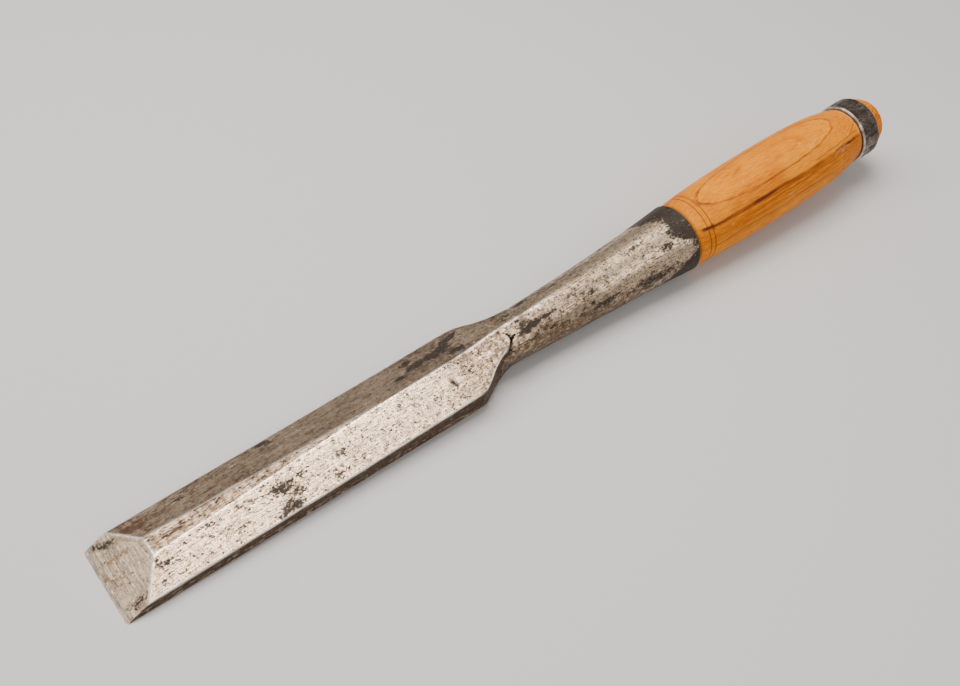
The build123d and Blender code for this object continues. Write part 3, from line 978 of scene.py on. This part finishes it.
class Nodes:
    """A node tree, filled by short calls."""

    def __init__(self, tree):
        self.tree = tree

    def put(self, socket, value):
        if isinstance(value, Value):
            self.tree.links.new(value.socket, socket)
        else:
            socket.default_value = (*value, 1) if socket.type == "RGBA" else value

    def node(self, kind, inputs, output=0, **settings):
        node = self.tree.nodes.new(kind)
        for key, value in settings.items():
            setattr(node, key, value)
        for key, value in inputs.items():
            self.put(node.inputs[key], value)
        return Value(self, node.outputs[output])

    def sum(self, kind, a, b):
        return self.node("ShaderNodeMath", {0: a, 1: b}, operation=kind)

    def mask(self, name):
        return self.node("ShaderNodeAttribute", {}, "Fac", attribute_name=name)

    def places(self, stretch=(1, 1, 1), turn=(0, 0, 0)):
        where = self.node("ShaderNodeAttribute", {}, "Vector", attribute_name="tool")
        return self.node("ShaderNodeMapping", {"Vector": where, "Scale": stretch, "Rotation": turn})

    def noise(self, where, scale, detail, rough):
        inputs = {"Vector": where, "Scale": scale, "Detail": detail, "Roughness": rough}
        return self.node("ShaderNodeTexNoise", inputs, "Fac")

    def dots(self, where, scale, density, widest):
        """Round spots of mixed sizes; density from 0 to 1 says how many of them are there."""
        gap = self.node("ShaderNodeTexVoronoi", {"Vector": where, "Scale": scale}, "Distance")
        luck = self.node("ShaderNodeSeparateColor", {"Color": gap.beside("Color")})
        radius = luck.beside(1).span(0.0, 1.0, 0.35, 1.0) * widest
        return (radius - gap).span(-0.06, 0.09) * (density - luck).span(-0.03, 0.03)

    def mix(self, share, a, b):
        return self.node("ShaderNodeMix", {0: share, 6: a, 7: b}, 2, data_type="RGBA")

    def blend(self, share, a, b):
        return self.node("ShaderNodeMix", {0: share, 2: a, 3: b}, data_type="FLOAT")


class Surface(Nodes):
    """A material's nodes, and the colour that they have built up so far."""

    def __init__(self, name):
        self.material = bpy.data.materials.new(name)
        self.material.use_nodes = True
        super().__init__(self.material.node_tree)
        self.colour = None

    def coat(self, share, colour):
        """Lay a colour over the colour so far."""
        self.colour = self.mix(share, self.colour, colour)

    def finish(self, metallic, specular, roughness, height, depth, strength):
        bump = self.node("ShaderNodeBump", {"Height": height, "Distance": depth, "Strength": strength})
        inputs = {"Base Color": self.colour, "Metallic": metallic, "Roughness": roughness, "Normal": bump,
                  "Specular IOR Level": specular}
        for key, value in inputs.items():
            self.put(self.tree.nodes["Principled BSDF"].inputs[key], value)
        return self.material


def worn_iron(name, bare, tarnish, roughness):
    """Old iron or steel: bare metal under tarnish, which also carries painted shade, rust, black oxide and
    fine dark pits.
    """
    s = Surface(name)
    where = s.places()
    along = s.places((0.60, 1.0, 1.0))
    fine = s.noise(where, 1.25, 5, 0.68)
    medium = s.noise(where, 0.42, 4, 0.6)
    cloud = s.noise(where, 0.11, 3, 0.55)
    grinding = s.noise(s.places((0.13, 2.6, 2.6), (0, 0, 0.05)), 1.0, 3, 0.6)
    crossing = s.noise(s.places((0.20, 4.5, 4.5), (0, 0, 0.62)), 1.0, 2, 0.5)
    bevel_lines = s.noise(s.places((5.5, 0.12, 0.12), (0, 0, 0.42)), 1.0, 1, 0.5)

    # bare metal, dulled in mottles, under tarnish, which also lays painted shade on the socket's lower half;
    # both are smoother on the main bevel
    smooth = s.mask("bevel").span(0.0, 1.0, 1.0, 0.40)
    mottle = fine * 0.65 + grinding * 0.35
    duller = tuple(k * c for k, c in zip((0.42, 0.35, 0.30), bare))
    s.colour = s.mix(mottle.span(0.44, 0.61, 0.0, 0.88) * smooth, bare, duller)
    patina_and_shade = s.mask("patina_and_shade") + medium.span(0.32, 0.68, -0.25, 0.25)
    patina_and_shade = (patina_and_shade + grinding.span(0.32, 0.68, -0.22, 0.22) * smooth).held()
    s.coat(patina_and_shade, tarnish)

    # rust, which covers a spot or leaves it alone
    uneven = medium * 0.45 + grinding * 0.55
    rust = s.mask("rust") + uneven.span(0.30, 0.70, -0.42, 0.42) + fine.span(0.30, 0.70, -0.20, 0.20)
    rust = rust.span(0.42, 0.68) * s.mask("rust").span(0.02, 0.20, 0.0, 0.96)
    rust_tone = (fine + (grinding - 0.5)).span(0.30, 0.72)
    rust_colour = s.mix(rust_tone, (0.024, 0.012, 0.007), (0.100, 0.052, 0.025))
    s.coat(rust, s.mix(s.mask("bevel") * 0.75, rust_colour, (0.30, 0.165, 0.082)))

    # black oxide: a film with ragged edges, then speckles and pits
    black = s.mask("black")
    film = (black + fine.span(0.3, 0.7, -0.26, 0.26)).span(0.20, 0.84) * uneven.span(0.42, 0.60, 0.95, 0.60)
    s.coat(film, s.mix(medium.span(0.4, 0.62), (0.025, 0.016, 0.012), (0.060, 0.036, 0.023)))
    ragged = s.noise(along, 1.0, 4, 0.62)
    density = s.mask("pitting") * 0.085 + black * 0.25 + medium.span(0.3, 0.7, -0.05, 0.05)
    big = (ragged + density).span(0.695, 0.735)
    count = s.mask("pitting") * 0.75 + black * 0.7 + medium.span(0.3, 0.7, -0.45, 0.35)
    spots = s.dots(along, 0.80, count, 0.36).most(s.dots(along, 1.7, count, 0.44))
    speckles = big.most(spots * ragged.span(0.30, 0.55, 0.35, 1.0))
    dark = speckles.most(s.mask("hollow").span(0.12, 0.6, 0.0, 0.8))
    s.coat(dark * 0.90, s.mix(fine.span(0.35, 0.65), (0.012, 0.010, 0.009), (0.042, 0.031, 0.024)))
    s.coat(s.mask("crack"), (0.004, 0.003, 0.003))

    # bright metal on the worn edges and in scratches and grinding lines, with painted highlights along the
    # strip's far edge and the near wall's top
    scratches = crossing.span(0.61, 0.70) * cloud.span(0.4, 0.6)
    cut = bevel_lines.span(0.55, 0.66) * s.mask("bevel")
    lines = (scratches * 0.40).most(cut * 0.26) * (1.0 - dark)
    bright = s.mask("bright").most(lines).held()
    s.coat(bright * 0.92, (0.97, 0.91, 0.82))

    cover = (rust * 0.85).most(dark * 0.75).most(film * 0.8)
    rough = fine.span(0.3, 0.7, roughness - 0.06, roughness + 0.07) + patina_and_shade * 0.12
    rough = s.blend(bright * 0.8, s.blend(cover, rough, 0.60), 0.26)
    height = fine * 0.45 + grinding * 0.30 - dark * 0.75 + medium * s.mask("pitting") * 0.9 - cut * 0.25
    specular = cover.span(0.2, 1.0, 0.5, 0.10)
    return s.finish(cover.span(0.0, 1.0, 1.0, 0.06), specular, rough, height, 0.00018, 0.6)


def oiled_wood(name):
    """Honey-coloured turned wood with nested growth rings, pores, streaks and handling marks."""
    s = Surface(name)
    where = s.places()
    warp = s.noise(s.places((0.05, 0.35, 0.35)), 1.0, 3, 0.5)
    ring = s.mask("ring") + warp.span(0.3, 0.7, -0.02, 0.02)
    share = (ring + 20.0).part()
    late = share.span(0.90, 0.975) * share.span(0.985, 1.0, 1.0, 0.0)
    minor = ((ring + 20.31) * 4.0).part()
    minor = minor.span(0.72, 0.93) * minor.span(0.95, 1.0, 1.0, 0.0)
    grain = s.noise(s.places((0.06, 1.3, 1.3)), 1.0, 5, 0.62)
    fibre = s.noise(s.places((0.16, 3.4, 3.4)), 1.0, 4, 0.6)
    pore = s.noise(s.places((0.26, 2.6, 2.6)), 1.0, 2, 0.5).span(0.64, 0.72)
    cloud = s.noise(where, 0.055, 3, 0.5)
    deeper = s.mask("deeper")

    # body colour, growth rings and fibres
    s.colour = s.mix(cloud.span(0.35, 0.65), (0.88, 0.290, 0.004), (0.76, 0.222, 0.002))
    s.coat(deeper * 0.65, (0.50, 0.105, 0.003))
    s.coat(share.span(0.2, 0.97) * 0.30, (0.56, 0.142, 0.004))
    s.coat(minor * cloud.span(0.4, 0.6, 0.10, 0.40), (0.36, 0.066, 0.003))
    s.coat(grain.span(0.38, 0.62, 0.0, 0.36), (0.93, 0.36, 0.008))
    s.coat(fibre.span(0.44, 0.64) * deeper.span(0.0, 1.0, 0.55, 0.85), (0.40, 0.088, 0.003))
    broken = s.noise(s.places((0.12, 0.35, 0.35)), 1.0, 3, 0.6).span(0.36, 0.62, 0.25, 0.85)
    s.coat(late * broken, (0.20, 0.040, 0.015))
    s.coat(pore * 0.5, (0.20, 0.070, 0.016))
    streak = (s.mask("streak") * grain.span(0.32, 0.60, 0.70, 1.4)).held()
    s.coat(streak * 0.95, (0.085, 0.016, 0.012))

    # the striking end's open grain, stained in places
    end = s.mask("end")
    end_grain = s.noise(s.places((0.10, 0.95, 0.30), (0.35, 0, 0)), 1.0, 5, 0.62)
    end_stain = s.noise(s.places((0.10, 0.20, 0.09), (0.35, 0, 0)), 1.0, 3, 0.55)
    end_rings = ((ring + 20.0) * 3.0).part()
    end_dark = end_grain.span(0.46, 0.68, 0.0, 0.55) + end_rings.span(0.55, 0.95, 0.0, 0.34)
    end_dark = (end_dark + end_stain.span(0.50, 0.66, 0.0, 0.50) + pore * 0.25).held()
    s.coat(end * 0.88, s.mix(end_dark, (0.74, 0.200, 0.008), (0.13, 0.022, 0.003)))

    # scribed rings, dirt, scuffs and wear
    s.coat(s.mask("groove") * 0.85, (0.090, 0.024, 0.013))
    s.coat(s.mask("grime") * 0.75, (0.090, 0.040, 0.018))
    s.coat(s.noise(where, 0.9, 2, 0.5).span(0.70, 0.76) * 0.55, (0.20, 0.085, 0.03))
    scuff = s.mask("scuff") * fibre.span(0.35, 0.6, 0.4, 1.0)
    s.coat(scuff * 0.45, (0.86, 0.62, 0.36))
    s.coat(s.mask("worn") * 0.6, (0.88, 0.68, 0.43))

    rough = s.blend(scuff.most(pore).most(end), grain.span(0.3, 0.7, 0.42, 0.54), 0.62)
    height = grain * 0.4 - pore * 0.5 + fibre * 0.25
    return s.finish(0.0, 0.07, rough, height, 0.00009, 0.5)


# ---------------- floor, light and camera
CAMERA_PLACE = (-7.5, -231.6, 369.6)     # in the tool's axes, in mm
CAMERA_AIM = (188.3, 8.7, 3.1)
CAMERA_ROLL = math.radians(1.7)
CAMERA_LENS = 39.4


def add_camera():
    place = Vector(to_row(CAMERA_PLACE))
    forward = (Vector(to_row(CAMERA_AIM)) - place).normalized()
    right = forward.cross(Vector(TURN @ np.array([0, 0, 1.0]))).normalized()
    tipped = right * math.cos(CAMERA_ROLL) + right.cross(forward) * math.sin(CAMERA_ROLL)
    up = tipped.cross(forward)
    data = bpy.data.cameras.new("camera")
    data.lens = CAMERA_LENS
    data.sensor_width = 36.0
    data.clip_start = 0.01
    camera = add_object("camera", data)
    turned = Matrix((tipped, up, -forward)).transposed().to_4x4()
    camera.matrix_world = Matrix.Translation(place) @ turned
    bpy.context.scene.camera = camera


def add_soft_light(name, place, aim, size, power, colour):
    data = bpy.data.lights.new(name, "AREA")
    data.shape = "RECTANGLE"
    data.size, data.size_y = size
    data.energy = power
    data.color = colour
    light = add_object(name, data)
    light.location = place
    light.rotation_euler = (Vector(aim) - Vector(place)).to_track_quat("-Z", "Y").to_euler()


def add_world():
    """A plain sky for soft fill: dim at the horizon and brighter overhead."""
    world = bpy.data.worlds.new("studio")
    bpy.context.scene.world = world
    world.use_nodes = True
    sky = Nodes(world.node_tree)
    where = sky.node("ShaderNodeTexCoord", {}, "Generated")
    height = sky.node("ShaderNodeSeparateXYZ", {"Vector": where}, "Z")
    height = sky.node("ShaderNodeMapRange", {"Value": height, "From Min": 0.0, "From Max": 0.9})
    background = world.node_tree.nodes["Background"]
    sky.put(background.inputs["Color"], sky.mix(height, (0.56, 0.56, 0.57), (0.95, 0.95, 0.95)))
    background.inputs["Strength"].default_value = 0.42


FLOOR_REACH = 14.0


def add_floor():
    mesh = bpy.data.meshes.new("floor")
    rim = [(FLOOR_REACH * math.cos(t), FLOOR_REACH * math.sin(t), 0.0) for t in round_angles(96)]
    mesh.from_pydata(rim, [], [tuple(range(len(rim)))])
    floor = add_object("floor", mesh)
    material = bpy.data.materials.new("floor")
    material.use_nodes = True
    surface = material.node_tree.nodes["Principled BSDF"]
    surface.inputs["Base Color"].default_value = (0.62, 0.61, 0.60, 1)
    surface.inputs["Roughness"].default_value = 0.85
    mesh.materials.append(material)


# ---------------- build it all
def settle(obj, body, node, material):
    obj.data.materials.append(material)
    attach(obj, body)
    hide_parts(node)


add_camera()
add_floor()
add_world()
add_soft_light("key", (-0.02, 0.20, 1.05), (-0.06, 0.0, 0.0), (0.62, 0.6), 13.0, (1.0, 0.955, 0.90))
add_soft_light("back", (-0.48, 0.55, 0.85), (-0.2, 0.0, 0.0), (0.5, 0.5), 4.5, (1.0, 0.96, 0.91))
add_soft_light("side", (0.50, -0.80, 0.85), (0.05, 0.0, 0.0), (0.6, 0.6), 3.6, (1.0, 0.96, 0.91))
add_soft_light("fill", (-0.9, -0.6, 0.7), (0.0, 0.0, 0.0), (0.8, 0.8), 2.0, (0.98, 0.99, 1.0))

blade = build_blade()
steel = build_steel()
socket = build_socket()
for forged in (blade, steel, socket):
    age_forging(forged)
handle = build_handle()
age_handle(handle)
hoop = build_hoop()
age_hoop(hoop)

# the tarnish colour also paints the shade on the socket's lower half
IRON_TARNISH = (0.152, 0.099, 0.062)
blade_iron = worn_iron("blade_iron", (0.93, 0.705, 0.505), IRON_TARNISH, 0.31)
tool_steel = worn_iron("tool_steel", (0.93, 0.715, 0.52), IRON_TARNISH, 0.30)
socket_iron = worn_iron("socket_iron", (0.87, 0.675, 0.475), IRON_TARNISH, 0.34)
hoop_steel = worn_iron("hoop_steel", (0.42, 0.35, 0.29), (0.075, 0.056, 0.044), 0.30)
settle(blade, "forging", "blade", blade_iron)
settle(steel, "forging", "edge_steel", tool_steel)
settle(socket, "forging", "socket", socket_iron)
settle(handle, "turned_handle", "handle", oiled_wood("handle_wood"))
settle(hoop, "hoop", "strike_hoop", hoop_steel)
